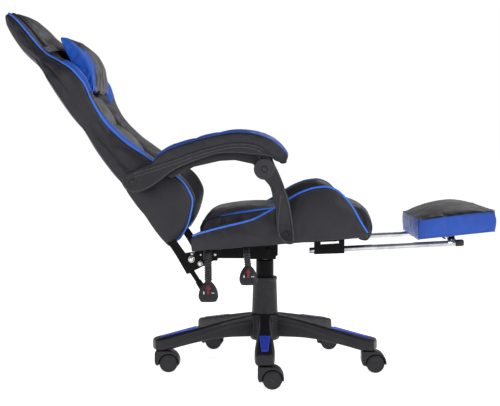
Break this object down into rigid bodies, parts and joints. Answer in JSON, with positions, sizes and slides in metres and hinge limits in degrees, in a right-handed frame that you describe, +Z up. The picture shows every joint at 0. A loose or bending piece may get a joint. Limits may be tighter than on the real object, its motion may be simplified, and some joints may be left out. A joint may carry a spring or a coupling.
{
  "type": "gaming chair",
  "caption": "Reclining swivel chair with a bucket seat and winged back, linked armrests, head pillow, pull-out padded footrest and a castered star base.",
  "frame": {"origin": "where the swivel axis meets the floor", "axes": "+Z up along the swivel axis, -Y the way the sitter faces, +X the sitter's left"},
  "size_m": [0.652, 1.324, 0.9908],
  "materials": {
    "black_leather": "black polyurethane leather, semi-gloss",
    "blue_leather": "royal blue polyurethane leather, semi-gloss",
    "black_plastic": "black glass-filled nylon, satin",
    "blue_plastic": "royal blue plastic, satin",
    "black_steel": "black powder coat, satin",
    "zinc": "zinc plated",
    "chrome": "polished chrome",
    "strap": "black woven elastic"
  },
  "bodies": {
    "base": {"base_star": "black_plastic", "gas_column": "black_steel", "column_cover": "black_plastic", "leg_inlay_1": "blue_plastic", "leg_inlay_2": "blue_plastic", "leg_inlay_3": "blue_plastic", "leg_inlay_4": "blue_plastic", "leg_inlay_5": "blue_plastic"},
    "piston": {"gas_piston": "chrome"},
    "mechanism": {"tilt_housing": "black_steel"},
    "seat": {"mechanism_plate": "black_steel", "tilt_pin": "black_steel", "lever_bearing": "black_plastic", "seat_pan": "black_steel", "seat_cushion": "black_leather", "seat_wing_right": "black_leather", "seat_wing_left": "black_leather", "recliner_lower_right": "black_steel", "recliner_lower_left": "black_steel", "recline_bolt_right": "zinc", "recline_bolt_left": "zinc", "footrest_guide_right": "black_steel", "footrest_guide_left": "black_steel"},
    "lift_lever": {"lift_lever": "black_plastic"},
    "tilt_lever": {"tilt_lever": "black_plastic"},
    "recline_lever": {"recline_lever": "black_steel"},
    "backrest": {"backrest_shell": "black_leather", "backrest_panel": "black_leather", "backrest_wing_right": "black_leather", "backrest_wing_left": "black_leather", "recliner_upper_right": "black_steel", "recliner_upper_left": "black_steel", "arm_pivot_right": "black_steel", "arm_pivot_left": "black_steel", "head_pillow": "blue_leather", "pillow_strap": "strap"},
    "armrest_right": {"arm_pad_right": "black_leather", "arm_shell_right": "black_plastic", "arm_bar_right": "black_plastic"},
    "armrest_left": {"arm_pad_left": "black_leather", "arm_shell_left": "black_plastic", "arm_bar_left": "black_plastic"},
    "arm_support_right": {"arm_support_right": "black_plastic"},
    "arm_support_left": {"arm_support_left": "black_plastic"},
    "footrest_frame": {"footrest_frame": "chrome", "rail_cap_right": "black_plastic", "rail_cap_left": "black_plastic"},
    "footrest_pad": {"footrest_pad": "blue_leather", "footrest_bracket": "black_steel"},
    "caster_1": {"caster_hood_1": "black_plastic"},
    "wheels_1": {"caster_wheels_1": "black_plastic"},
    "caster_2": {"caster_hood_2": "black_plastic"},
    "wheels_2": {"caster_wheels_2": "black_plastic"},
    "caster_3": {"caster_hood_3": "black_plastic"},
    "wheels_3": {"caster_wheels_3": "black_plastic"},
    "caster_4": {"caster_hood_4": "black_plastic"},
    "wheels_4": {"caster_wheels_4": "black_plastic"},
    "caster_5": {"caster_hood_5": "black_plastic"},
    "wheels_5": {"caster_wheels_5": "black_plastic"}
  },
  "joints": [
    {"name": "seat_lift", "type": "slide", "parent": "base", "child": "piston", "axis": [0, 0, 1], "range_m": [0, 0.08]},
    {"name": "seat_swivel", "type": "hinge", "parent": "piston", "child": "mechanism", "pos_m": [0, 0, 0.32], "axis": [0, 0, 1], "continuous": true},
    {"name": "seat_tilt", "type": "hinge", "parent": "mechanism", "child": "seat", "pos_m": [0, -0.01, 0.335], "axis": [-1, 0, 0], "range_deg": [0, 12], "stiffness_Nm_per_rad": 260, "springref_deg": -18.33},
    {"name": "backrest_recline", "type": "hinge", "parent": "seat", "child": "backrest", "pos_m": [0, 0.195, 0.327], "axis": [-1, 0, 0], "range_deg": [-27, 8]},
    {"name": "lift_lever_turn", "type": "hinge", "parent": "seat", "child": "lift_lever", "pos_m": [0, 0.05, 0.352], "axis": [-1, 0, 0], "range_deg": [0, 15], "stiffness_Nm_per_rad": 1.5, "springref_deg": -20.05},
    {"name": "tilt_lever_turn", "type": "hinge", "parent": "seat", "child": "tilt_lever", "pos_m": [0, 0.15, 0.3425], "axis": [-1, 0, 0], "range_deg": [0, 20]},
    {"name": "recline_lever_turn", "type": "hinge", "parent": "seat", "child": "recline_lever", "pos_m": [-0.21, 0.201, 0.303], "axis": [-1, 0, 0], "range_deg": [0, 15], "stiffness_Nm_per_rad": 1.5, "springref_deg": -20.05},
    {"name": "armrest_pivot_right", "type": "hinge", "parent": "backrest", "child": "armrest_right", "pos_m": [-0.29, 0.338, 0.535], "axis": [-1, 0, 0], "range_deg": [-6.1, 21.2]},
    {"name": "arm_support_pivot_right", "type": "hinge", "parent": "seat", "child": "arm_support_right", "pos_m": [-0.27, -0.056, 0.399], "axis": [-1, 0, 0], "range_deg": [-36.8, 10.6]},
    {"name": "armrest_pivot_left", "type": "hinge", "parent": "backrest", "child": "armrest_left", "pos_m": [0.29, 0.338, 0.535], "axis": [-1, 0, 0], "range_deg": [-6.1, 21.2]},
    {"name": "arm_support_pivot_left", "type": "hinge", "parent": "seat", "child": "arm_support_left", "pos_m": [0.27, -0.056, 0.399], "axis": [-1, 0, 0], "range_deg": [-36.8, 10.6]},
    {"name": "footrest_slide", "type": "slide", "parent": "seat", "child": "footrest_frame", "axis": [0, 0.9986, -0.0523], "range_m": [0, 0.245]},
    {"name": "footrest_flip", "type": "hinge", "parent": "footrest_frame", "child": "footrest_pad", "pos_m": [0, -0.52, 0.3663], "axis": [1, 0, 0], "range_deg": [0, 175]},
    {"name": "caster_swivel_1", "type": "hinge", "parent": "base", "child": "caster_1", "pos_m": [-0.301, 0, 0.07], "axis": [0, 0, 1], "continuous": true},
    {"name": "wheel_roll_1", "type": "hinge", "parent": "caster_1", "child": "wheels_1", "pos_m": [-0.301, -0.0196, 0.0253], "axis": [1, 0, 0], "continuous": true},
    {"name": "caster_swivel_2", "type": "hinge", "parent": "base", "child": "caster_2", "pos_m": [-0.09301, -0.28627, 0.07], "axis": [0, 0, 1], "continuous": true},
    {"name": "wheel_roll_2", "type": "hinge", "parent": "caster_2", "child": "wheels_2", "pos_m": [-0.09301, -0.30587, 0.0253], "axis": [1, 0, 0], "continuous": true},
    {"name": "caster_swivel_3", "type": "hinge", "parent": "base", "child": "caster_3", "pos_m": [0.24351, -0.17692, 0.07], "axis": [0, 0, 1], "continuous": true},
    {"name": "wheel_roll_3", "type": "hinge", "parent": "caster_3", "child": "wheels_3", "pos_m": [0.24351, -0.19652, 0.0253], "axis": [1, 0, 0], "continuous": true},
    {"name": "caster_swivel_4", "type": "hinge", "parent": "base", "child": "caster_4", "pos_m": [0.24351, 0.17692, 0.07], "axis": [0, 0, 1], "continuous": true},
    {"name": "wheel_roll_4", "type": "hinge", "parent": "caster_4", "child": "wheels_4", "pos_m": [0.24351, 0.15732, 0.0253], "axis": [1, 0, 0], "continuous": true},
    {"name": "caster_swivel_5", "type": "hinge", "parent": "base", "child": "caster_5", "pos_m": [-0.09301, 0.28627, 0.07], "axis": [0, 0, 1], "continuous": true},
    {"name": "wheel_roll_5", "type": "hinge", "parent": "caster_5", "child": "wheels_5", "pos_m": [-0.09301, 0.26667, 0.0253], "axis": [1, 0, 0], "continuous": true}
  ],
  "couplings": [
    {"joint": "armrest_pivot_right", "follows": "backrest_recline", "ratio": -0.7534},
    {"joint": "arm_support_pivot_right", "follows": "backrest_recline", "ratio": 1.3124},
    {"joint": "armrest_pivot_left", "follows": "backrest_recline", "ratio": -0.7534},
    {"joint": "arm_support_pivot_left", "follows": "backrest_recline", "ratio": 1.3124},
    {"joint": "footrest_flip", "follows": "footrest_slide", "rad_per_m": 12.457}
  ]
}
